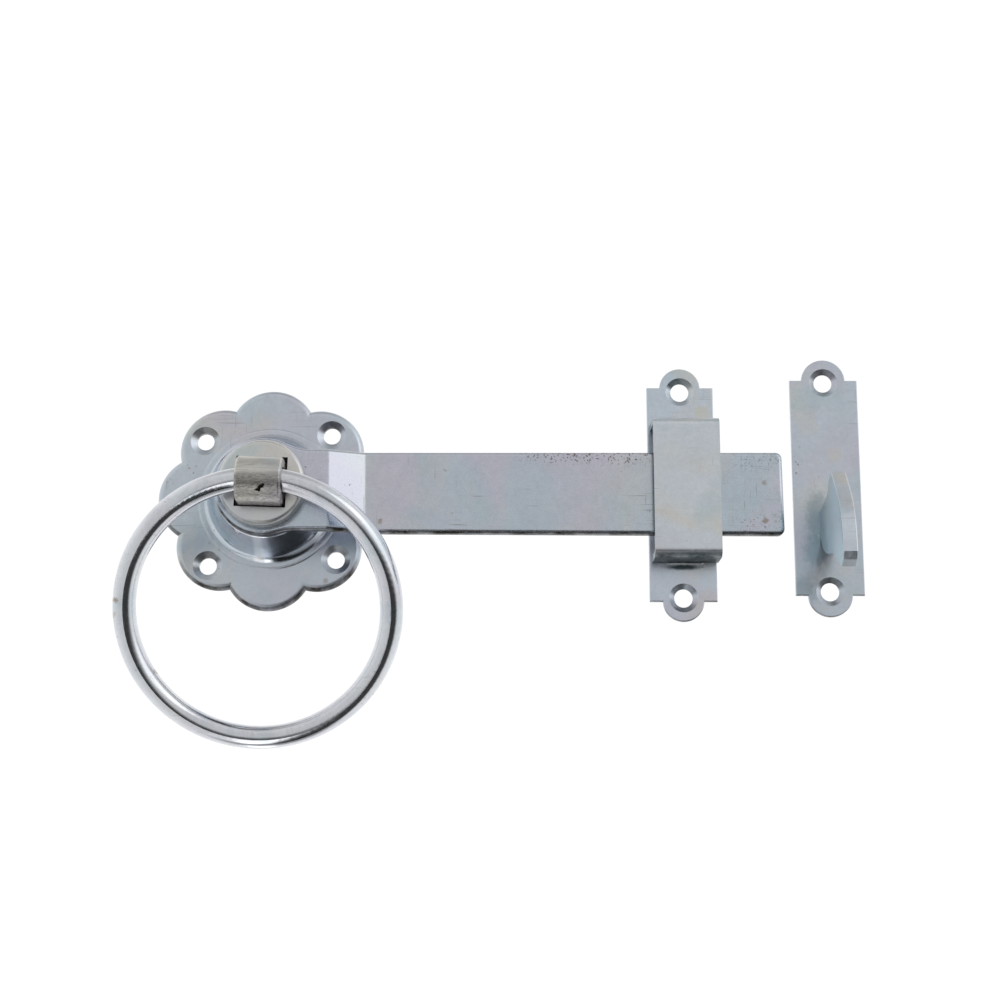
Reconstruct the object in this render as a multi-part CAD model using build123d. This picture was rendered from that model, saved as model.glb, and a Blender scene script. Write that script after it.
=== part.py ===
from build123d import *
import os
import math

# Ring gate latch, 150 mm from spindle to bar tip.
# Row frame: +X along the bar towards its tip, +Z up, +Y into the gate.
# The gate and post faces are the plane y = 0 and the whole latch stands at y < 0.
# Origin: where the spindle axis meets the gate's face.
# Every piece is drawn in a working frame (x right, y up, z out of the gate) and is
# then turned into the row frame, so a "height" below is a distance out of the gate.

# ---------------------------------------------------------------- driving sizes
REACH = 150.0            # spindle axis to bar tip

# rose: eight-lobed pressing with a conical dome
LOBES = 8
LOBE_R = 12.92           # radius of one lobe
LOBE_PITCH_R = 20.05     # radius of the circle of lobe centres
LOBE_TURN = -0.55        # degrees
ROSE_UP = 0.3            # the outline and dome sit this far above the middle of the screw holes
ROSE_H = 2.55            # front face of the rose
SHEET = 1.5              # sheet thickness
RIM_ROUND = 1.9          # rounded outer edge of the pressing
STEP_R = 20.9            # shallow raised step round the dome
STEP_H = 0.32
CONE_BASE_R = 19.4
CONE_TOP_R = 13.2
DOME_H = 17.0            # top of the dome
ROSE_PCD = 52.8
ROSE_HOLE_TURN = 2.8     # degrees, holes off the 45 degree lines
HOLE_R_ROSE = 2.55
CSK_R_ROSE = 4.3
DIMPLE_R = 5.0           # solid seat under each countersink
CSK_DEEP = 1.15          # depth of every countersink

# spindle strap: folded round the ring, legs through collar, bar and dome
SPINDLE_UP = 0.4         # the spindle axis sits this far above the middle of the screw holes
SQUARE_TURN = -1.8       # degrees, strap, collar and ring about the spindle
STRAP_W = 12.85
STRAP_T = 2.65
STRAP_X = 0.2            # the strap lies loose in its square hole, to the right of the middle
FOLD_IN_R = 3.9
PIVOT_UP = 0.0           # ring pivot, height up the gate
FOLD_OUT_R = FOLD_IN_R + STRAP_T
PIVOT_H = 29.9           # ring pivot, height out of the gate
BEARING_R = math.hypot(STRAP_W / 2 + STRAP_X, FOLD_OUT_R + SPINDLE_UP - PIVOT_UP) + 0.08   # round hole in the dome
FOOT_OUT = 10.4          # half height over the splayed feet
WASHER_T = 1.8
WASHER_R = 11.2
SQUARE = 14.5            # square hole of the collar

# collar in front of the bar's eye
COLLAR_R = 12.3
COLLAR_BACK = 20.4
COLLAR_FRONT = 25.75
COLLAR_ROUND = 1.35

# latch bar
BAR_TURN = 0.65          # degrees, tip lifted
BAR_DROP = 0.68          # the strip's middle line passes this far below the rose's middle
BAR_T = 3.0
EYE_R = 14.15
EYE_BACK = 17.3
BAR_W = 23.4
BAR_TIP_W = 24.6
BAR_ROUND = 1.2          # rolled long edges
CRANK_X0, CRANK_X1 = 18.4, 28.9
CRANK_DROP = 4.9
CREASE = 2.0             # bend radius at both ends of the crank
BAR_SLOPE = 3.4          # degrees, the run beyond the crank closes on the gate

# guide plate and its bridge
PLATE_T = 1.5
GUIDE_X = 121.0
GUIDE_Z = 2.3
GUIDE_W = 19.75
GUIDE_HALF = 32.15       # half length over the shoulders
GUIDE_EAR_R = 6.05
GUIDE_HALF_ALL = 38.0
GUIDE_HOLES = 62.0
BRIDGE_X = 121.6
BRIDGE_W = 19.3
BRIDGE_Z0, BRIDGE_Z1 = -18.5, 22.95
BRIDGE_H = 12.8
BRIDGE_T = 1.9
TENON_W = 10.4

# catch plate and hook
CATCH_X = 163.9
CATCH_Z = 4.4
CATCH_W = 20.1
CATCH_HALF = 32.4
CATCH_EAR_R = 6.5
CATCH_HALF_ALL = 38.7
CATCH_HOLES = 63.0
HOLE_R = 2.7
CSK_R = 4.25
HOOK_X0 = 161.52
HOOK_T = 4.2

# pull ring
RING_R = 37.63           # centreline half width
RING_R_UP = 37.36        # centreline half height, the ring is a little flattened
ROD_R = 3.3
RING_TILT = 20.83        # degrees, hanging with its foot against the gate
RING_CREST = 0.45        # crest of the centreline beyond the pivot axis
RING_YAW = 1.5            # degrees, the ring sits slightly askew in its loose fold

ROW = Plane(origin=(0, 0, 0), x_dir=(1, 0, 0), z_dir=(0, -1, 0))


def disc(r, h0, h1, x=0.0, y=0.0):
    """Round slug from height h0 to h1."""
    return Pos(x, y, (h0 + h1) / 2) * Cylinder(r, h1 - h0)


def slab(x0, x1, y0, y1, h0, h1):
    """Rectangular block."""
    return Pos((x0 + x1) / 2, (y0 + y1) / 2, (h0 + h1) / 2) * Box(x1 - x0, y1 - y0, h1 - h0)


def csk_hole(x, y, r, rc, top):
    """Screw hole with a countersink whose rim is at height top."""
    k = (rc - r) / CSK_DEEP
    cone = Pos(x, y, top - CSK_DEEP / 2 + 0.1) * Cone(r, rc + 0.2 * k, CSK_DEEP + 0.2)
    return disc(r, -1.0, top + 1.0, x, y) + cone


def edges_at(part, h, tol=1e-3):
    """Edges that lie wholly at one height."""
    return [e for e in part.edges()
            if abs(e.bounding_box().min.Z - h) < tol and abs(e.bounding_box().max.Z - h) < tol]


# ---------------------------------------------------------------- rose plate
def lobed(inset=0.0):
    """Eight-lobed outline, optionally inset."""
    s = Circle(LOBE_PITCH_R)
    for k in range(LOBES):
        a = math.radians(90 + LOBE_TURN + k * 360 / LOBES)
        s += Pos(LOBE_PITCH_R * math.cos(a), LOBE_PITCH_R * math.sin(a)) * Circle(LOBE_R - inset)
    return s


def turned(points):
    """Solid of revolution about the spindle from (radius, height) points."""
    wire = Polyline(*[(r, 0, h) for r, h in points], close=True)
    return revolve(make_face(wire), Axis.Z)


plate = extrude(lobed(), ROSE_H)
plate = fillet(edges_at(plate, ROSE_H), RIM_ROUND)
hollow = extrude(lobed(SHEET), ROSE_H - SHEET)

# Bell-shaped dome: shallow step, a sweeping foot, then a steep flank up to the flat top.
top_h = ROSE_H + STEP_H
flank = [(CONE_BASE_R, top_h), (18.55, 3.45), (17.65, 4.45), (16.85, 6.0), (16.1, 8.4), (15.4, 11.2),
         (14.75, 13.9), (14.3, 15.6)]
profile = [
    Line((0, 0.5), (STEP_R + 0.25, 0.5)),
    Line((STEP_R + 0.25, 0.5), (STEP_R + 0.25, ROSE_H)),
    Line((STEP_R + 0.25, ROSE_H), (STEP_R - 0.1, ROSE_H + STEP_H * 0.7)),
    Line((STEP_R - 0.1, ROSE_H + STEP_H * 0.7), (STEP_R - 0.55, top_h)),
    Line((STEP_R - 0.55, top_h), flank[0]),
    Spline(*flank),
    ThreePointArc(flank[-1], (13.88, 16.55), (CONE_TOP_R - 0.2, DOME_H)),
    Line((CONE_TOP_R - 0.2, DOME_H), (0, DOME_H)),
    Line((0, DOME_H), (0, 0.5)),
]
dome = revolve(Plane.XZ * make_face([p.edge() for p in profile]), Axis.Z)
cavity = turned([(0, -1), (STEP_R - SHEET, -1), (STEP_R - SHEET, top_h - SHEET), (17.6, top_h - SHEET),
                 (16.3, 2.7), (15.3, 4.7), (14.45, 7.3), (13.7, 10.2), (13.05, 13.0), (12.65, 14.7),
                 (12.0, DOME_H - SHEET), (0, DOME_H - SHEET)])
for k in range(4):
    a = math.radians(45 + ROSE_HOLE_TURN + 90 * k)
    hollow -= disc(DIMPLE_R, -1, ROSE_H, ROSE_PCD / 2 * math.cos(a), ROSE_PCD / 2 * math.sin(a) - ROSE_UP)
rose = Pos(0, ROSE_UP, 0) * (plate - hollow + dome - cavity)
rose -= disc(BEARING_R, 0, DOME_H + 1, 0, SPINDLE_UP)
for k in range(4):
    a = math.radians(45 + ROSE_HOLE_TURN + 90 * k)
    rose -= csk_hole(ROSE_PCD / 2 * math.cos(a), ROSE_PCD / 2 * math.sin(a), HOLE_R_ROSE, CSK_R_ROSE, ROSE_H)

# ---------------------------------------------------------------- collar
collar = disc(COLLAR_R, COLLAR_BACK, COLLAR_FRONT)
collar = fillet(edges_at(collar, COLLAR_FRONT), COLLAR_ROUND)
collar = chamfer(edges_at(collar, COLLAR_BACK), 0.3)
collar -= slab(-SQUARE / 2, SQUARE / 2, -SQUARE / 2, SQUARE / 2, COLLAR_BACK - 1, COLLAR_FRONT + 1)

# ---------------------------------------------------------------- spindle strap
# Profile in the plane of height (u) and up (v), extruded across the strap's width.
FOOT_BACK = 10.4
FOOT_FRONT = FOOT_BACK + STRAP_T


def strap_half(sign):
    leg = slab(-STRAP_W / 2, STRAP_W / 2, min(sign * FOLD_IN_R, sign * FOLD_OUT_R),
               max(sign * FOLD_IN_R, sign * FOLD_OUT_R), FOOT_BACK + 2.2, PIVOT_H)
    foot = slab(-STRAP_W / 2, STRAP_W / 2, min(sign * (FOLD_IN_R + 2.2), sign * FOOT_OUT),
                max(sign * (FOLD_IN_R + 2.2), sign * FOOT_OUT), FOOT_BACK, FOOT_FRONT)
    bend = Rot(0, 90, 0) * Cylinder(2.2, STRAP_W)
    bend = Pos(0, sign * (FOLD_IN_R + 2.2), FOOT_BACK + 2.2) * bend
    bend &= slab(-STRAP_W, STRAP_W, min(sign * FOLD_IN_R, sign * (FOLD_IN_R + 2.2)),
                 max(sign * FOLD_IN_R, sign * (FOLD_IN_R + 2.2)), FOOT_BACK, FOOT_BACK + 2.2)
    return leg + foot + bend


fold = Rot(0, 90, 0) * (Cylinder(FOLD_OUT_R, STRAP_W) - Cylinder(FOLD_IN_R, STRAP_W + 2))
fold = Pos(0, 0, PIVOT_H) * fold
fold -= slab(-20, 20, -20, 20, PIVOT_H - 20, PIVOT_H)
strap = fold + strap_half(1) + strap_half(-1)
# broken edges on the two long sides of the fold
rim = [e for e in strap.edges() if e.bounding_box().min.Z > FOOT_FRONT + 0.1
       and abs(abs(e.center().X) - STRAP_W / 2) < 1e-3 and max(abs(e.bounding_box().max.Y), abs(e.bounding_box().min.Y)) > FOLD_IN_R + 0.5]
strap = fillet(rim, 0.8)

# ---------------------------------------------------------------- retaining washer
washer = disc(WASHER_R, FOOT_FRONT + 0.02, FOOT_FRONT + 0.02 + WASHER_T)
washer = chamfer([e for e in edges_at(washer, FOOT_FRONT + 0.02 + WASHER_T) if e.geom_type == GeomType.CIRCLE], 0.3)
LEG_DOWN = PIVOT_UP - SPINDLE_UP             # the legs sit this far above the spindle axis
for s in (1, -1):                            # one slot for each leg
    washer -= slab(STRAP_X - STRAP_W / 2 - 0.1, STRAP_X + STRAP_W / 2 + 0.1,
                   LEG_DOWN + min(s * (FOLD_IN_R - 0.1), s * (FOLD_OUT_R + 0.1)),
                   LEG_DOWN + max(s * (FOLD_IN_R - 0.1), s * (FOLD_OUT_R + 0.1)), 0, 30)

# ---------------------------------------------------------------- latch bar
# Plan outline (x, up): round eye, concave flare into the bar, slightly spread tip.
HW = BAR_W / 2
TW = BAR_TIP_W / 2
EYE_UP = BAR_DROP + SPINDLE_UP               # the eye is struck this far above the strip's middle line
blend_r = 16.0                               # concave flare between eye and strip
m = (TW - HW) / REACH                        # the strip spreads slightly towards its tip
k = math.hypot(1, m)
flare = {}
for s in (1, -1):
    q = HW + blend_r * k - s * EYE_UP
    A, B, C = 1 + m * m, 2 * m * q, q * q - (EYE_R + blend_r) ** 2
    fx = (-B + math.sqrt(B * B - 4 * A * C)) / (2 * A)
    fy = s * (HW + m * fx + blend_r * k)     # centre of the flare arc
    t = EYE_R / (EYE_R + blend_r)
    on_eye = (fx * t, EYE_UP + (fy - EYE_UP) * t)
    on_edge = (fx + blend_r * m / k, fy - s * blend_r / k)
    ux, uy = (on_eye[0] + on_edge[0]) / 2 - fx, (on_eye[1] + on_edge[1]) / 2 - fy
    n = blend_r / math.hypot(ux, uy)
    flare[s] = (on_eye, (fx + ux * n, fy + uy * n), on_edge)
path = [
    Line(flare[-1][2], (REACH, -TW)),
    Line((REACH, -TW), (REACH, TW)),
    Line((REACH, TW), flare[1][2]),
    ThreePointArc(flare[1][2], flare[1][1], flare[1][0]),
    ThreePointArc(flare[1][0], (-EYE_R, EYE_UP), flare[-1][0]),
    ThreePointArc(flare[-1][0], flare[-1][1], flare[-1][2]),
]
outline = make_face([p.edge() for p in path])
blank = extrude(outline, 40)
if blank.bounding_box().max.Z < 20:
    blank = Pos(0, 0, 40) * blank
corner = [e for e in blank.edges() if e.bounding_box().min.X > REACH - 0.5 and e.bounding_box().size.Z > 30]
blank = fillet(corner, 1.9)

# Side section (x, height) of the cranked strip
ef = EYE_BACK + BAR_T
slope = math.tan(math.radians(BAR_SLOPE))
crank_a = math.atan2(CRANK_DROP, CRANK_X1 - CRANK_X0)


def front_h(x):
    """Height of the bar's front face beyond the crank."""
    return ef - CRANK_DROP - (x - CRANK_X1) * slope


mid = [(-EYE_R - 2, ef), (CRANK_X0, ef), (CRANK_X1, ef - CRANK_DROP), (REACH + 2, front_h(REACH + 2))]
off = BAR_T
a2 = math.radians(BAR_SLOPE)
k2 = (crank_a + a2) / 2
back = [(-EYE_R - 2, ef - off),
        (CRANK_X0 - math.tan(crank_a / 2) * off, ef - off),
        (CRANK_X1 - off * math.sin(k2) / math.cos((crank_a - a2) / 2),
         ef - CRANK_DROP - off * math.cos(k2) / math.cos((crank_a - a2) / 2)),
        (REACH + 2 - off * math.sin(a2), front_h(REACH + 2) - off * math.cos(a2))]
sect = make_face(Polyline(*[(x, 0, h) for x, h in mid + back[::-1]], close=True))
strip = extrude(sect, 20, both=True)
creases = [e for e in strip.edges() if e.length > 39 and
           (abs(e.center().X - CRANK_X0) < 2.5 or abs(e.center().X - CRANK_X1) < 2.5)]
strip = fillet(creases, CREASE)
bar = strip & blank
# the eye is struck a little above the strip's middle line, so it lands on the spindle axis
bar = Pos(0, -BAR_DROP, 0) * Rot(0, 0, BAR_TURN) * bar


def front_line(x):
    """Height of the front face anywhere along the bar."""
    if x < CRANK_X0:
        return ef
    if x < CRANK_X1:
        return ef - CRANK_DROP * (x - CRANK_X0) / (CRANK_X1 - CRANK_X0)
    return front_h(x)


front = []
for e in bar.edges():
    p = e.position_at(0.5)
    size = e.bounding_box().size
    crease = size.X < 0.8 and size.Y > 20 and p.X < REACH - 5
    if abs(p.Z - front_line(p.X)) < 0.6 and not crease:
        front.append(e)
bar = fillet(front, BAR_ROUND)
bar -= Pos(0, SPINDLE_UP, 0) * Rot(0, 0, SQUARE_TURN) * slab(-SQUARE / 2, SQUARE / 2, -SQUARE / 2, SQUARE / 2, EYE_BACK - 3, ef + 3)

# ---------------------------------------------------------------- guide plate
def eared_plate(cx, cy, w, half, ear_r, half_all):
    """Strip with square shoulders and a round ear at each end."""
    ec = half_all - ear_r                        # ear centre from the middle
    ex = math.sqrt(ear_r ** 2 - (half - ec) ** 2)   # where the ear meets the shoulder
    hw = w / 2
    path = [
        Line((hw, -half), (hw, half)),
        Line((hw, half), (ex, half)),
        ThreePointArc((ex, half), (0, half_all), (-ex, half)),
        Line((-ex, half), (-hw, half)),
        Line((-hw, half), (-hw, -half)),
        Line((-hw, -half), (-ex, -half)),
        ThreePointArc((-ex, -half), (0, -half_all), (ex, -half)),
        Line((ex, -half), (hw, -half)),
    ]
    s = make_face([p.edge() for p in path])
    p = Pos(cx, cy) * extrude(s, PLATE_T)
    if p.bounding_box().max.Z < PLATE_T / 2:     # keep the plate above its back face
        p = Pos(0, 0, PLATE_T) * p
    outer = [e for e in edges_at(p, PLATE_T)]
    for r in (0.35, 0.3, 0.25):
        try:
            return fillet(outer, r)
        except Exception as err:
            print("plate edge radius", r, "not possible:", err)
    return p


guide = eared_plate(GUIDE_X, GUIDE_Z, GUIDE_W, GUIDE_HALF, GUIDE_EAR_R, GUIDE_HALF_ALL)
GUIDE_HOLE_Z = GUIDE_Z - 0.1
for d in (1, -1):
    guide -= csk_hole(GUIDE_X, GUIDE_HOLE_Z + d * GUIDE_HOLES / 2, HOLE_R, CSK_R, PLATE_T)
# slots for the bridge's tenons
for z0 in (BRIDGE_Z0, BRIDGE_Z1 - BRIDGE_T):
    guide -= slab(BRIDGE_X - TENON_W / 2 - 0.1, BRIDGE_X + TENON_W / 2 + 0.1,
                  z0 - 0.1, z0 + BRIDGE_T + 0.1, -1, PLATE_T + 1)
# shallow punched recess outside each leg
for z0, z1 in ((BRIDGE_Z0 - 1.35, BRIDGE_Z0 + 0.1), (BRIDGE_Z1 - 0.1, BRIDGE_Z1 + 1.35)):
    guide -= slab(BRIDGE_X - TENON_W / 2 - 0.1, BRIDGE_X + TENON_W / 2 + 0.1, z0, z1, PLATE_T - 1.1, PLATE_T + 1)

# ---------------------------------------------------------------- guide bridge
outer = slab(BRIDGE_X - BRIDGE_W / 2, BRIDGE_X + BRIDGE_W / 2, BRIDGE_Z0, BRIDGE_Z1, PLATE_T + 0.02, BRIDGE_H)
outer = fillet([e for e in outer.edges() if e.center().Z > BRIDGE_H - 0.01
                and abs(e.length - BRIDGE_W) < 0.01], 2.6)
inner = slab(BRIDGE_X - BRIDGE_W, BRIDGE_X + BRIDGE_W, BRIDGE_Z0 + BRIDGE_T, BRIDGE_Z1 - BRIDGE_T, -2, BRIDGE_H - BRIDGE_T)
inner = fillet([e for e in inner.edges() if e.center().Z > BRIDGE_H - BRIDGE_T - 0.01
                and abs(e.length - 2 * BRIDGE_W) < 0.01], 0.7)
bridge = outer - inner
for z0 in (BRIDGE_Z0, BRIDGE_Z1 - BRIDGE_T):
    bridge += slab(BRIDGE_X - TENON_W / 2, BRIDGE_X + TENON_W / 2, z0, z0 + BRIDGE_T, 0.0, PLATE_T + 0.5)
# shallow arched reliefs in the feet beside the tenons
for z0 in (BRIDGE_Z0, BRIDGE_Z1 - BRIDGE_T):
    for d in (1, -1):
        bridge -= Pos(BRIDGE_X + d * (TENON_W / 2 + 0.75), z0 + BRIDGE_T / 2, PLATE_T + 0.02) * (Rot(90, 0, 0) * Cylinder(0.75, BRIDGE_T + 2))

# ---------------------------------------------------------------- catch plate
catch = eared_plate(CATCH_X, CATCH_Z, CATCH_W, CATCH_HALF, CATCH_EAR_R, CATCH_HALF_ALL)
CATCH_HOLE_Z = CATCH_Z + 0.2
for d in (1, -1):
    catch -= csk_hole(CATCH_X, CATCH_HOLE_Z + d * CATCH_HOLES / 2, HOLE_R, CSK_R, PLATE_T)
HT_Z0, HT_Z1 = -9.2, -3.8
catch -= slab(HOOK_X0 + 0.6, HOOK_X0 + HOOK_T - 0.6, HT_Z0 - 0.1, HT_Z1 + 0.1, -1, PLATE_T + 1)

# ---------------------------------------------------------------- catch hook
# Profile (height, up): stem from the plate, notch for the bar, crest, lead-in ramp, nose.
nose = [(PLATE_T + 0.02, -3.1), (5.2, -2.4), (10.0, -1.6), (12.9, -0.85), (15.2, 0.5), (16.9, 2.3),
        (19.2, 4.1), (20.6, 4.4), (21.9, 3.75), (27.4, -1.75), (31.2, -6.45), (33.75, -11.3), (34.9, -16.7),
        (35.2, -21.0), (33.9, -23.1), (31.6, -24.65), (29.0, -23.5), (23.7, -20.3), (16.0, -18.3),
        (8.6, -16.6), (4.2, -14.2), (2.0, -11.6), (PLATE_T + 0.02, -9.6)]


def side(points):
    return [(HOOK_X0, u, h) for h, u in points]


top_edge = Spline(*side(nose[0:6]))
crest = Spline(*side(nose[5:9]))
ramp = Spline(*side(nose[8:14]))
chin = Polyline(*side(nose[13:16]))
belly = Spline(*side(nose[15:23]))
root = Line(side(nose[22:23])[0], side(nose[0:1])[0])
hook_face = make_face([top_edge.edge(), crest.edge(), ramp.edge()] + list(chin.edges()) + [belly.edge(), root.edge()])
hook = extrude(hook_face, HOOK_T, dir=(1, 0, 0))
hook_edges = [e for e in hook.edges() if e.bounding_box().size.X < 1e-3 and e.bounding_box().min.Z > PLATE_T + 0.05]
try:
    hook = fillet(hook_edges, 0.35)
except Exception as err:
    print("hook edges left sharp:", err)
hook += slab(HOOK_X0 + 0.7, HOOK_X0 + HOOK_T - 0.7, HT_Z0, HT_Z1, 0, PLATE_T + 0.5)

# ---------------------------------------------------------------- pull ring
hoop = Edge.make_ellipse(RING_R, RING_R_UP)
section = Plane(origin=hoop.position_at(0), z_dir=hoop.tangent_at(0)) * Circle(ROD_R)
ring = sweep(section, path=hoop)
# ring drawn flat about its crest, then hung from the pivot and leaned on the gate
ring = Pos(0, -(RING_R_UP - RING_CREST), 0) * ring
ring = Rot(0, RING_YAW, 0) * ring
ring = Rot(RING_TILT, 0, 0) * ring
ring = Pos(0, 0, PIVOT_H) * ring

# ---------------------------------------------------------------- write the pieces
turn = Pos(0, SPINDLE_UP, 0) * Rot(0, 0, SQUARE_TURN)
hang = Pos(STRAP_X, PIVOT_UP, 0) * Rot(0, 0, SQUARE_TURN)
pieces = {
    "rose_plate": rose,
    "latch_bar": bar,
    "boss_collar": turn * collar,
    "spindle_strap": hang * strap,
    "retaining_washer": turn * washer,
    "ring_handle": hang * ring,
    "guide_plate": guide,
    "guide_bridge": bridge,
    "catch_plate": catch,
    "catch_hook": hook,
}

os.makedirs("parts", exist_ok=True)
for name, solid in pieces.items():
    placed = ROW * solid
    placed = placed.solids()[0] if len(placed.solids()) == 1 else placed
    export_step(placed, "parts/" + name + ".step")
    b = placed.bounding_box()
    print(f"{name:18s} solids {len(placed.solids())}  volume {placed.volume:9.1f}  "
          f"x {b.min.X:7.2f}..{b.max.X:7.2f}  y {b.min.Y:7.2f}..{b.max.Y:7.2f}  z {b.min.Z:7.2f}..{b.max.Z:7.2f}")
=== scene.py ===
import bpy
import math
from mathutils import Matrix, Vector

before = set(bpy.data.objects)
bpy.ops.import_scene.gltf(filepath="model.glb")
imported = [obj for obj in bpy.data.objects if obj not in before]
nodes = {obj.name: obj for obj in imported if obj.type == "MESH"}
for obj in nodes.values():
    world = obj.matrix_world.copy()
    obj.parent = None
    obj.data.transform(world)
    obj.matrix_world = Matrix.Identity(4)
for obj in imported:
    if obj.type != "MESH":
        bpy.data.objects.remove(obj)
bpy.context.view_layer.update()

scene = bpy.context.scene
scene.view_settings.view_transform = "Standard"
scene.view_settings.look = "None"

# ------------------------------------------------------------------ camera
TILT, YAW = math.radians(11.85), math.radians(0.33)
look = Vector((math.sin(YAW) * math.cos(TILT), math.cos(YAW) * math.cos(TILT), math.sin(TILT)))
right = look.cross(Vector((0, 0, 1))).normalized()
up = right.cross(look)
cam_data = bpy.data.cameras.new("camera")
cam_data.sensor_width = 36.0
cam_data.lens = 1868.0 / 1000.0 * 36.0
cam_data.clip_start = 0.01
cam_data.clip_end = 100.0
cam = bpy.data.objects.new("camera", cam_data)
scene.collection.objects.link(cam)
m = Matrix.Identity(4)
for i, v in enumerate((right, up, -look)):
    for j in range(3):
        m[j][i] = v[j]
m.translation = Vector((0.06437, -0.5394, -0.11260))
cam.matrix_world = m
scene.camera = cam


# ------------------------------------------------------------------ node helpers
class Net:
    """Short-hand for building a node tree."""

    def __init__(self, tree):
        self.t = tree
        self.n = tree.nodes
        self.l = tree.links

    def put(self, sock, val):
        if isinstance(val, (bpy.types.NodeSocket,)):
            self.l.new(val, sock)
        elif val is not None:
            if hasattr(sock, "default_value"):
                dv = sock.default_value
                if hasattr(dv, "__len__") and not isinstance(dv, str):
                    val = tuple(val) if hasattr(val, "__len__") else (val,) * len(dv)
                    if len(val) == 3 and len(dv) == 4:
                        val = val + (1.0,)
                sock.default_value = val

    def node(self, kind, **props):
        nd = self.n.new(kind)
        for k, v in props.items():
            setattr(nd, k, v)
        return nd

    def math(self, op, a, b=None, c=None, clamp=False):
        nd = self.node("ShaderNodeMath", operation=op, use_clamp=clamp)
        self.put(nd.inputs[0], a)
        if b is not None:
            self.put(nd.inputs[1], b)
        if c is not None:
            self.put(nd.inputs[2], c)
        return nd.outputs[0]

    def vmath(self, op, a, b=None, scale=None):
        nd = self.node("ShaderNodeVectorMath", operation=op)
        self.put(nd.inputs[0], a)
        if b is not None:
            self.put(nd.inputs[1], b)
        if scale is not None:
            self.put(nd.inputs["Scale"], scale)
        return nd.outputs["Value"] if op in ("DOT_PRODUCT", "LENGTH", "DISTANCE") else nd.outputs["Vector"]

    def ramp(self, v, a, b, lo=0.0, hi=1.0, smooth=True):
        nd = self.node("ShaderNodeMapRange", clamp=True)
        nd.interpolation_type = "SMOOTHSTEP" if smooth else "LINEAR"
        self.put(nd.inputs["Value"], v)
        self.put(nd.inputs["From Min"], a)
        self.put(nd.inputs["From Max"], b)
        self.put(nd.inputs["To Min"], lo)
        self.put(nd.inputs["To Max"], hi)
        return nd.outputs["Result"]

    def mix(self, fac, a, b, blend="MIX"):
        nd = self.node("ShaderNodeMix", data_type="RGBA", blend_type=blend)
        nd.clamp_factor = True
        self.put(nd.inputs[0], fac)
        self.put(nd.inputs[6], a)
        self.put(nd.inputs[7], b)
        return nd.outputs[2]

    def noise(self, vec, scale, detail=3.0, rough=0.5, distort=0.0):
        nd = self.node("ShaderNodeTexNoise")
        self.put(nd.inputs["Vector"], vec)
        self.put(nd.inputs["Scale"], scale)
        self.put(nd.inputs["Detail"], detail)
        self.put(nd.inputs["Roughness"], rough)
        self.put(nd.inputs["Distortion"], distort)
        return nd.outputs["Fac"]

    def stretch(self, vec, s, rot=(0, 0, 0), off=(0, 0, 0)):
        nd = self.node("ShaderNodeMapping")
        self.put(nd.inputs["Vector"], vec)
        nd.inputs["Scale"].default_value = s
        nd.inputs["Rotation"].default_value = rot
        nd.inputs["Location"].default_value = off
        return nd.outputs["Vector"]

    def colour_noise(self, vec, scale):
        nd = self.node("ShaderNodeTexNoise")
        self.put(nd.inputs["Vector"], vec)
        self.put(nd.inputs["Scale"], scale)
        return self.vmath("SUBTRACT", nd.outputs["Color"], (0.5, 0.5, 0.5))

    def gray(self, v):
        nd = self.node("ShaderNodeCombineColor")
        for i in range(3):
            self.put(nd.inputs[i], v)
        return nd.outputs[0]

    def xyz(self, vec):
        nd = self.node("ShaderNodeSeparateXYZ")
        self.put(nd.inputs[0], vec)
        return nd.outputs[0], nd.outputs[1], nd.outputs[2]


# ------------------------------------------------------------------ world
world = bpy.data.worlds.new("studio")
scene.world = world
world.use_nodes = True
w = Net(world.node_tree)
w.n.clear()
d = w.node("ShaderNodeTexCoord").outputs["Generated"]
dx, dy, dz = w.xyz(d)


az = w.math("ARCTAN2", dx, w.math("MULTIPLY", dy, -1.0))       # 0 towards the viewer, + to the right
el = w.math("ARCSINE", dz)
DEG = math.pi / 180


def band(v, a0, a1, b1, b0):
    """1 between a1 and b1 degrees, 0 beyond a0 and b0."""
    return w.math("MULTIPLY", w.ramp(v, a0 * DEG, a1 * DEG), w.ramp(v, b0 * DEG, b1 * DEG))


# a white tent: mid grey in front, lighter at the sides, white behind the object
room = w.ramp(dy, -1.0, 0.25, 0.64, 0.93, smooth=False)
room = w.math("MULTIPLY", room, w.ramp(dz, 0.78, 0.99, 1.0, 0.58))
room = w.math("MULTIPLY", room, w.ramp(dz, -0.90, -0.985, 1.0, 0.40))
# softbox on the right, and a thin one low on the left
soft = w.math("MULTIPLY", band(az, 30, 42, 66, 84), band(el, -14, 2, 30, 48))
room = w.math("ADD", room, w.math("MULTIPLY", soft, 0.50))
slant = w.math("DIVIDE", dx, w.math("MAXIMUM", w.math("MULTIPLY", dz, -1.0), 0.05))
thin = w.math("MULTIPLY", w.ramp(slant, -0.21, -0.16), w.ramp(slant, -0.02, -0.06))
thin = w.math("MULTIPLY", thin, w.math("MULTIPLY", w.ramp(dz, -0.52, -0.64), w.ramp(dz, -0.99, -0.95)))
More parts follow.
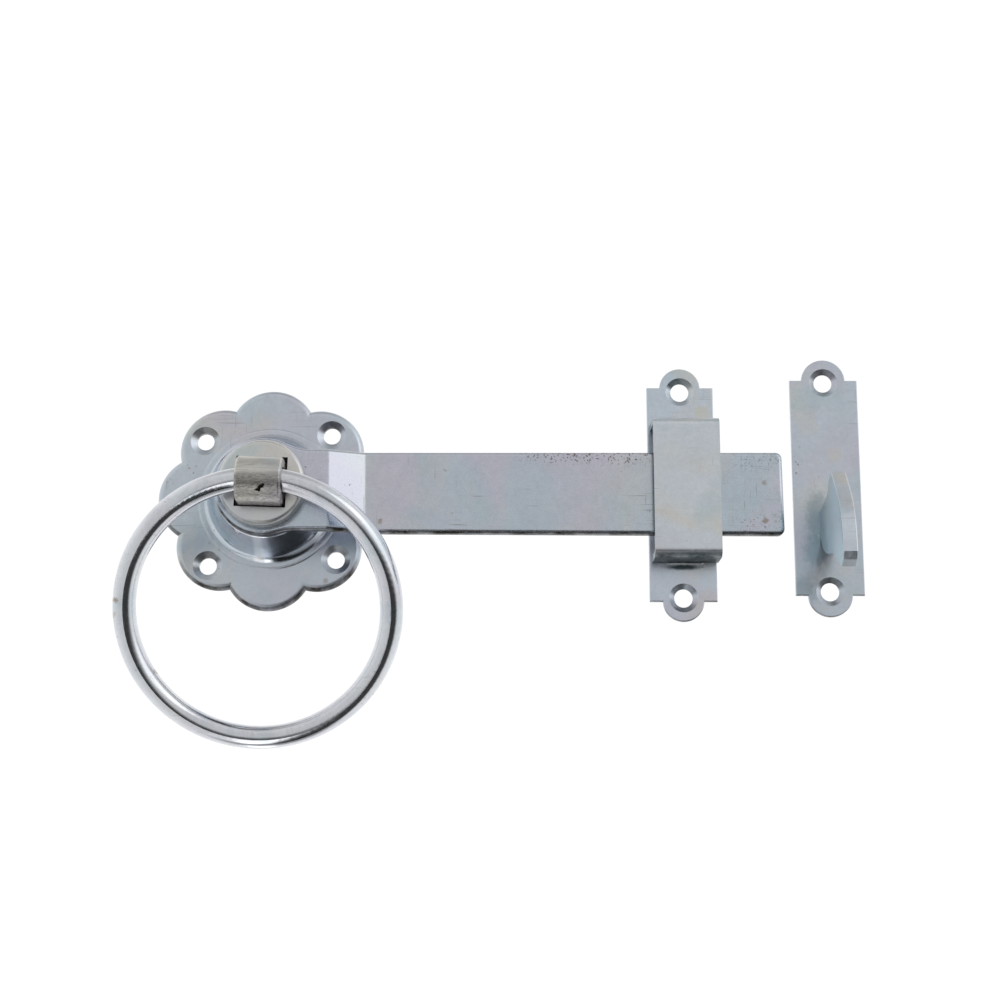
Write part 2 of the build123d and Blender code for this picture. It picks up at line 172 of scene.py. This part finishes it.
# dark room under the camera
dark = w.math("MULTIPLY", band(az, -19, -6, 46, 74), w.ramp(el, -2 * DEG, -26 * DEG))
room = w.math("MULTIPLY", room, w.math("SUBTRACT", 1.0, w.math("MULTIPLY", dark, 0.93)))
room = w.math("ADD", room, w.math("MULTIPLY", thin, 1.6))
back = w.ramp(dy, 0.45, 0.75)
grey = w.node("ShaderNodeCombineColor")
for i in range(3):
    tint = w.math("MULTIPLY", room, (0.985, 0.995, 1.0)[i])
    one = w.math("ADD", w.math("MULTIPLY", tint, w.math("SUBTRACT", 1.0, back)), w.math("MULTIPLY", back, 1.03))
    w.put(grey.inputs[i], one)
bg = w.node("ShaderNodeBackground")
w.put(bg.inputs["Color"], grey.outputs[0])
bg.inputs["Strength"].default_value = 1.0
wout = w.node("ShaderNodeOutputWorld")
w.l.new(bg.outputs[0], wout.inputs[0])

# ------------------------------------------------------------------ floor and lights
FLOOR_Z = -0.162
mesh = bpy.data.meshes.new("floor")
s = 30.0
mesh.from_pydata([(-s, -s, FLOOR_Z), (s, -s, FLOOR_Z), (s, s, FLOOR_Z), (-s, s, FLOOR_Z)], [], [(0, 1, 2, 3)])
floor = bpy.data.objects.new("floor", mesh)
scene.collection.objects.link(floor)
fm = bpy.data.materials.new("floor_white")
fm.use_nodes = True
fb = fm.node_tree.nodes["Principled BSDF"]
fb.inputs["Base Color"].default_value = (0.3, 0.3, 0.3, 1)
fb.inputs["Roughness"].default_value = 0.9
fb.inputs["Emission Color"].default_value = (1, 1, 1, 1)
fb.inputs["Emission Strength"].default_value = 0.9
mesh.materials.append(fm)
floor.visible_glossy = False


def area(name, loc, target, size, power, size_y=None):
    data = bpy.data.lights.new(name, "AREA")
    data.energy = power
    data.shape = "RECTANGLE"
    data.size = size
    data.size_y = size_y or size
    ob = bpy.data.objects.new(name, data)
    scene.collection.objects.link(ob)
    ob.location = loc
    ob.rotation_euler = (Vector(target) - Vector(loc)).to_track_quat("-Z", "Y").to_euler()
    return ob


area("softbox_right", (1.3, -1.2, 0.9), (0.06, 0, 0), 1.0, 0.6)


# ------------------------------------------------------------------ zinc plating
def zinc(name, base=(0.616, 0.67, 0.732), straw=0.55, rose=0.45, rough=0.30, rough_var=0.10,
         speck=0.6, scratch_rot=0.0, scratch=0.5, seed=0.0, edge=(0.05, 0.043, 0.038), edge_dark=0.9,
         edge_side=0.08, bump=0.3, cone=False, cloud=42.0, side_shade=None, spots=(), pits=None,
         mottle=0.16, band_spots=None):
    """Bright zinc plating: drifting passivation tints, grain, scratches, specks, dark sheared edges; also painted
    shade on downward-facing edges, sides and given spots, and, where asked, a painted highlight and shade on the
    dome flank and a painted reflection band on the strap.
    """
    mat = bpy.data.materials.new(name)
    mat.use_nodes = True
    k = Net(mat.node_tree)
    bsdf = k.n["Principled BSDF"]
    pos = k.node("ShaderNodeTexCoord").outputs["Object"]
    px, py, pz = k.xyz(pos)
    p = k.vmath("ADD", pos, (seed, seed * 0.7, -seed * 1.3))
    geo = k.node("ShaderNodeNewGeometry")
    obn = k.node("ShaderNodeVectorTransform", vector_type="NORMAL", convert_from="WORLD", convert_to="OBJECT")
    k.put(obn.inputs[0], geo.outputs["Normal"])
    nx, ny, nz = k.xyz(obn.outputs[0])
    front = k.ramp(ny, 0.15, -0.15)
    # clouded passivation: straw and violet drifts over pale blue-grey
    c1 = k.noise(p, cloud, 3.0, 0.55, 0.7)
    c2 = k.noise(k.vmath("ADD", p, (1.7, 0.3, 2.9)), cloud * 0.8, 2.0, 0.5, 0.9)
    c3 = k.noise(k.vmath("ADD", p, (5.1, 2.2, 0.4)), cloud * 5.0, 4.0, 0.62)
    c4 = k.noise(k.vmath("ADD", p, (7.7, 4.1, 6.2)), cloud * 1.6, 3.0, 0.55, 0.4)
    col = k.mix(k.ramp(c1, 0.47, 0.66, 0.0, straw), base, (0.75, 0.70, 0.60))
    col = k.mix(k.ramp(c2, 0.48, 0.66, 0.0, rose), col, (0.645, 0.60, 0.69))
    col = k.mix(k.ramp(c4, 0.50, 0.70, 0.0, 0.45), col, (0.50, 0.615, 0.655))
    # mottling from patch to patch and fine grain
    g = k.noise(p, 2300.0, 2.0, 0.6)
    gm = k.noise(p, 700.0, 3.0, 0.6)
    shade = k.math("ADD", 1.0 - mottle * 0.5, k.math("MULTIPLY", c3, mottle))
    shade = k.math("ADD", shade, k.math("MULTIPLY", k.math("SUBTRACT", g, 0.5), 0.17))
    shade = k.math("ADD", shade, k.math("MULTIPLY", k.math("SUBTRACT", gm, 0.5), 0.20))
    col = k.mix(1.0, col, k.gray(shade), "MULTIPLY")
    # hair scratches in two directions
    sc = k.noise(k.stretch(p, (60.0, 700.0, 2600.0), (0.0, scratch_rot, 0.0)), 1.0, 2.0, 0.5)
    line = k.math("MULTIPLY", k.ramp(sc, 0.655, 0.70), k.ramp(k.noise(p, 55.0, 2.0), 0.47, 0.62))
    sc2 = k.noise(k.stretch(p, (2300.0, 500.0, 80.0), (0.0, scratch_rot + 0.55, 0.0)), 1.0, 2.0, 0.5)
    line2 = k.math("MULTIPLY", k.ramp(sc2, 0.68, 0.72), k.ramp(k.noise(k.vmath("ADD", p, (3, 3, 3)), 70.0, 2.0), 0.52, 0.64))
    lines = k.math("MULTIPLY", k.math("MAXIMUM", line, line2), scratch)
    col = k.mix(lines, col, (0.36, 0.34, 0.31))
    # small dark and brownish specks in loose groups
    vor = k.node("ShaderNodeTexVoronoi")
    k.put(vor.inputs["Vector"], k.vmath("ADD", p, k.vmath("SCALE", k.colour_noise(p, 1500.0), scale=0.0009)))
    vor.inputs["Scale"].default_value = 620.0
    vor.inputs["Randomness"].default_value = 1.0
    grp = k.ramp(k.noise(k.vmath("ADD", p, (9, 1, 4)), 60.0, 3.0, 0.65), 0.57, 0.72)
    if band_spots:
        grp = k.math("MAXIMUM", grp, band_spots(k, px, py, pz))
    keep = k.ramp(k.noise(k.vmath("ADD", p, (2, 6, 8)), 800.0, 1.0), 0.48, 0.60)
    dot = k.math("MULTIPLY", k.ramp(vor.outputs["Distance"], 0.30, 0.12), keep)
    spk = k.math("MULTIPLY", k.math("MULTIPLY", dot, grp), speck)
    if band_spots:
        fine = k.ramp(k.noise(k.vmath("ADD", p, (4, 4, 9)), 1500.0, 2.0, 0.6), 0.575, 0.64)
        spk = k.math("MAXIMUM", spk, k.math("MULTIPLY", fine, band_spots(k, px, py, pz)))
    col = k.mix(spk, col, (0.17, 0.135, 0.10))
    # single marks, either stains or painted shade patches: (x, z, radius, strength[, colour[, squash in z]]) in
    # metres
    for sx, sz, sr, st, *more in spots:
        tone = more[0] if more else (0.30, 0.235, 0.16)
        qx = k.math("SUBTRACT", px, sx)
        qz = k.math("MULTIPLY", k.math("SUBTRACT", pz, sz), more[1] if len(more) > 1 else 1.0)
        q = k.math("SQRT", k.math("ADD", k.math("MULTIPLY", qx, qx), k.math("MULTIPLY", qz, qz)))
        q = k.math("ADD", q, k.math("MULTIPLY", k.math("SUBTRACT", gm, 0.5), min(sr * 1.6, 0.0035)))
        col = k.mix(k.math("MULTIPLY", front, k.ramp(q, sr, sr * 0.35, 0.0, st)), col, tone)
    # sheared edges are duller and browner than the rolled faces; downward-facing edges get painted shade on top of
    # that
    side = k.ramp(k.math("ABSOLUTE", ny), 0.985, 0.78)
    flat = k.math("SQRT", k.math("MAXIMUM", k.math("SUBTRACT", 1.0, k.math("MULTIPLY", ny, ny)), 0.004))
    painted_under_shade = k.ramp(k.math("DIVIDE", nz, flat), -0.15, -0.62)
    r2 = k.math("SQRT", k.math("ADD", k.math("MULTIPLY", px, px), k.math("MULTIPLY", pz, pz)))
    if cone:
        on_cone = k.math("MULTIPLY", k.ramp(r2, 0.0204, 0.0199), k.ramp(py, -0.0029, -0.0032))
        side = k.math("MULTIPLY", side, k.math("SUBTRACT", 1.0, on_cone))
        side = k.math("MULTIPLY", side, k.ramp(r2, 0.0222, 0.0228, 0.4, 1.0))
        # painted highlight: a bright streak painted on the pressed flank, with painted shade to its right
        turn = k.math("ARCTAN2", px, k.math("MULTIPLY", pz, -1.0))
        painted_highlight = k.math("MULTIPLY", k.ramp(turn, -0.28, -0.18), k.ramp(turn, -0.02, -0.09))
        painted_shade_patch = k.math("MULTIPLY", k.ramp(turn, -0.03, 0.12), k.ramp(turn, 1.10, 0.75))
        col = k.mix(k.math("MULTIPLY", k.math("MULTIPLY", painted_highlight, on_cone), 0.9), col, (0.97, 0.98, 1.0))
        col = k.mix(k.math("MULTIPLY", k.math("MULTIPLY", painted_shade_patch, on_cone), 0.72), col, (0.10, 0.115, 0.135))
    fade = k.math("ADD", 0.8, k.math("MULTIPLY", k.math("SUBTRACT", c3, 0.5), 1.4))
    edge_wear_and_shade = k.math("MULTIPLY", k.math("MULTIPLY", side, k.math("ADD", edge_side, k.math("MULTIPLY", painted_under_shade, 1.0 - edge_side))), edge_dark)
    edge_wear_and_shade = k.math("MULTIPLY", edge_wear_and_shade, fade, clamp=True)
    col = k.mix(edge_wear_and_shade, col, edge)
    # painted shade: faces turned along x get a darker, tealer copy of the colour
    if side_shade:
        col = k.mix(k.ramp(k.math("ABSOLUTE", nx), 0.45, 0.85), col, k.mix(1.0, col, side_shade, "MULTIPLY"))
    pit_h = None
    if pits:
        run = k.noise(k.stretch(p, (160.0, 900.0, 2400.0)), 1.0, 3.0, 0.6)
        col = k.mix(k.ramp(run, 0.50, 0.64, 0.0, 0.35), col, (0.34, 0.32, 0.285))
        # painted reflection: a dark band across the front of the strap's fold
        painted_reflection_band = k.math("MULTIPLY", k.ramp(pz, 0.0014, -0.0002), k.ramp(pz, -0.0040, -0.0024))
        fine = k.noise(k.stretch(p, (900.0, 900.0, 5200.0)), 1.0, 2.0, 0.6)
        painted_reflection_band = k.math("MULTIPLY", painted_reflection_band, k.math("ADD", 0.45, k.ramp(fine, 0.40, 0.62, 0.0, 0.5)))
        painted_reflection_band = k.math("MULTIPLY", painted_reflection_band, k.ramp(py, -0.0250, -0.0275))
        col = k.mix(k.math("MULTIPLY", painted_reflection_band, 0.8), col, (0.15, 0.148, 0.145))
        # painted shade: the lower part of the fold is darker
        painted_low_shade = k.math("MULTIPLY", k.ramp(pz, -0.0016, -0.0030), k.ramp(fine, 0.44, 0.62))
        col = k.mix(k.math("MULTIPLY", painted_low_shade, 0.6), col, (0.15, 0.145, 0.14))
        pit_h = k.math("MULTIPLY", pits(k, px, pz, gm, g), k.ramp(py, -0.0250, -0.0275))
        col = k.mix(pit_h, col, (0.018, 0.016, 0.014))
    k.put(bsdf.inputs["Base Color"], col)
    bsdf.inputs["Metallic"].default_value = 1.0
    ro = k.math("ADD", rough - rough_var * 0.5, k.math("MULTIPLY", c3, rough_var))
    ro = k.math("ADD", ro, k.math("MULTIPLY", k.ramp(gm, 0.4, 0.7), rough_var * 0.6))
    ro = k.math("ADD", ro, k.math("MULTIPLY", edge_wear_and_shade, 0.18))
    if cone:
        ro = k.math("SUBTRACT", ro, k.math("MULTIPLY", on_cone, rough - 0.11))
    if pit_h is not None:
        ro = k.math("ADD", ro, k.math("MULTIPLY", pit_h, 0.4))
    k.put(bsdf.inputs["Roughness"], ro)
    # relief: grain, scratches, long soft waves of rolled sheet
    wav = k.noise(k.vmath("ADD", p, (2, 8, 1)), 90.0, 2.0, 0.5)
    h = k.math("ADD", k.math("MULTIPLY", g, 0.000007), k.math("MULTIPLY", gm, 0.000014))
    h = k.math("ADD", h, k.math("MULTIPLY", wav, 0.00006))
    h = k.math("SUBTRACT", h, k.math("MULTIPLY", lines, 0.00001))
    h = k.math("SUBTRACT", h, k.math("MULTIPLY", spk, 0.00003))
    if pit_h is not None:
        h = k.math("SUBTRACT", h, k.math("MULTIPLY", pit_h, 0.00025))
    bp = k.node("ShaderNodeBump")
    bp.inputs["Strength"].default_value = bump
    bp.inputs["Distance"].default_value = 1.0
    k.put(bp.inputs["Height"], h)
    k.put(bsdf.inputs["Normal"], bp.outputs["Normal"])
    return mat


def wear(node, mat):
    ob = nodes[node]
    ob.data.materials.clear()
    ob.data.materials.append(mat)
    for poly in ob.data.polygons:
        poly.material_index = 0


def bar_edge(k, px, py, pz):
    """Specks crowd along the bar's upper edge near the bridge, and round the tip."""
    top_edge = k.math("MULTIPLY", k.ramp(pz, 0.0078, 0.0105), k.math("MULTIPLY", k.ramp(px, 0.068, 0.082), k.ramp(px, 0.114, 0.110)))
    tip = k.math("MULTIPLY", k.ramp(px, 0.132, 0.140), k.ramp(k.math("ABSOLUTE", k.math("SUBTRACT", pz, 0.0015)), 0.004, 0.0095))
    return k.math("MAXIMUM", k.math("MULTIPLY", top_edge, 0.95), k.math("MULTIPLY", tip, 0.5))


def strap_pits(k, px, pz, gm, g):
    """A torn pit with smaller ones beside it, low on the fold."""
    qx = k.math("SUBTRACT", px, 0.0012)
    qz = k.math("ADD", pz, 0.0031)
    u = k.math("ADD", k.math("MULTIPLY", qx, 0.72), k.math("MULTIPLY", qz, 0.69))
    v = k.math("SUBTRACT", k.math("MULTIPLY", qx, 0.69), k.math("MULTIPLY", qz, 0.72))
    r = k.math("SQRT", k.math("ADD", k.math("MULTIPLY", k.math("MULTIPLY", u, u), 0.30), k.math("MULTIPLY", v, v)))
    r = k.math("ADD", r, k.math("MULTIPLY", k.math("SUBTRACT", gm, 0.5), 0.0042))
    small = k.math("MULTIPLY", k.ramp(g, 0.66, 0.74), k.ramp(pz, -0.0005, -0.0025))
    return k.math("MAXIMUM", k.ramp(r, 0.00075, 0.00035), k.math("MULTIPLY", small, 0.6))


# teal-dark colour of the painted edge shade on guide, bridge and hook; SHADE is the colour of painted shade patches
TEAL_EDGE_SHADE = (0.045, 0.065, 0.075)
SHADE = (0.30, 0.39, 0.44)
# on the rose, the two teal-grey spots on the lower lobes are painted shade; the other two are stains
wear("rose_plate", zinc("zinc_rose", seed=0.4, cone=True, straw=0.5, rose=0.45, rough=0.30, edge_dark=1.0, speck=0.8,
                        spots=((-0.0035, 0.0238, 0.0042, 0.16, (0.72, 0.66, 0.54)), (0.0168, -0.0240, 0.0010, 0.5), (-0.0235, -0.0120, 0.0085, 0.30, (0.42, 0.52, 0.56)), (0.0215, -0.0155, 0.0060, 0.28, (0.40, 0.50, 0.54)))))
wear("latch_bar", zinc("zinc_bar", base=(0.565, 0.627, 0.70), straw=0.25, rose=0.65, seed=3.1, scratch=0.95, rough=0.23, edge=(0.028, 0.024, 0.02), edge_dark=1.05,
                       speck=0.95, band_spots=bar_edge, cloud=34.0,
                       spots=((0.0332, -0.0088, 0.0011, 0.6), (0.1445, -0.0072, 0.0013, 0.7), (0.1445, 0.0040, 0.0010, 0.5))))
wear("boss_collar", zinc("zinc_collar", base=(0.665, 0.675, 0.68), straw=0.5, rose=0.25, seed=5.2, rough=0.30, speck=0.7,
                         edge=(0.15, 0.165, 0.165), edge_dark=0.75))
wear("spindle_strap", zinc("zinc_strap", base=(0.60, 0.585, 0.555), straw=0.5, rose=0.5, seed=7.7, rough=0.33, rough_var=0.16,
                           speck=1.0, bump=0.9, edge_dark=0.3, edge_side=0.0, mottle=0.3, pits=strap_pits))
wear("retaining_washer", zinc("zinc_washer", base=(0.60, 0.60, 0.58), seed=8.3))
wear("ring_handle", zinc("zinc_ring", base=(0.73, 0.75, 0.785), straw=0.12, rose=0.3, rough=0.12, rough_var=0.08, seed=9.9,
                         edge_dark=0.0, bump=0.35, speck=0.5, scratch=0.5,
                         spots=((-0.0405, -0.0325, 0.0011, 0.8), (-0.0412, -0.0365, 0.0012, 0.4), (-0.0300, -0.0515, 0.0010, 0.5))))
# on the guide plate, the near-black teal spot squashed in z is painted shade of a slot under the bridge's foot; the
# other spot is a straw stain
wear("guide_plate", zinc("zinc_guide", base=(0.65, 0.722, 0.80), seed=11.3, edge=TEAL_EDGE_SHADE, edge_dark=0.9,
                         spots=((0.1210, -0.0197, 0.0068, 0.92, (0.03, 0.05, 0.055), 5.5), (0.1275, 0.0265, 0.0038, 0.45, (0.72, 0.66, 0.50)))))
wear("guide_bridge", zinc("zinc_bridge", seed=13.9, straw=0.55, base=(0.695, 0.74, 0.785), rose=0.2, edge=TEAL_EDGE_SHADE, edge_dark=1.0, side_shade=(0.26, 0.33, 0.36)))
# on the catch plate, the SHADE spots are painted shadow left of the hook's root and painted shade in the lower-left
# corner; the last spot is a straw stain
wear("catch_plate", zinc("zinc_catch", base=(0.616, 0.67, 0.74), seed=15.2, straw=0.35, rose=0.5, edge=(0.07, 0.075, 0.08), speck=0.8,
                         spots=((0.1608, -0.0050, 0.0048, 0.62, SHADE, 0.45), (0.1600, -0.0145, 0.0050, 0.55, SHADE, 0.8), (0.1550, -0.0270, 0.0060, 0.5, SHADE), (0.1665, 0.0140, 0.0032, 0.3, (0.74, 0.67, 0.55)))))
wear("catch_hook", zinc("zinc_hook", base=(0.655, 0.70, 0.76), seed=17.5, rough=0.32, rough_var=0.16, speck=0.9, bump=0.7,
                        rose=0.6, edge=TEAL_EDGE_SHADE, edge_dark=0.35, side_shade=(0.76, 0.90, 0.94)))
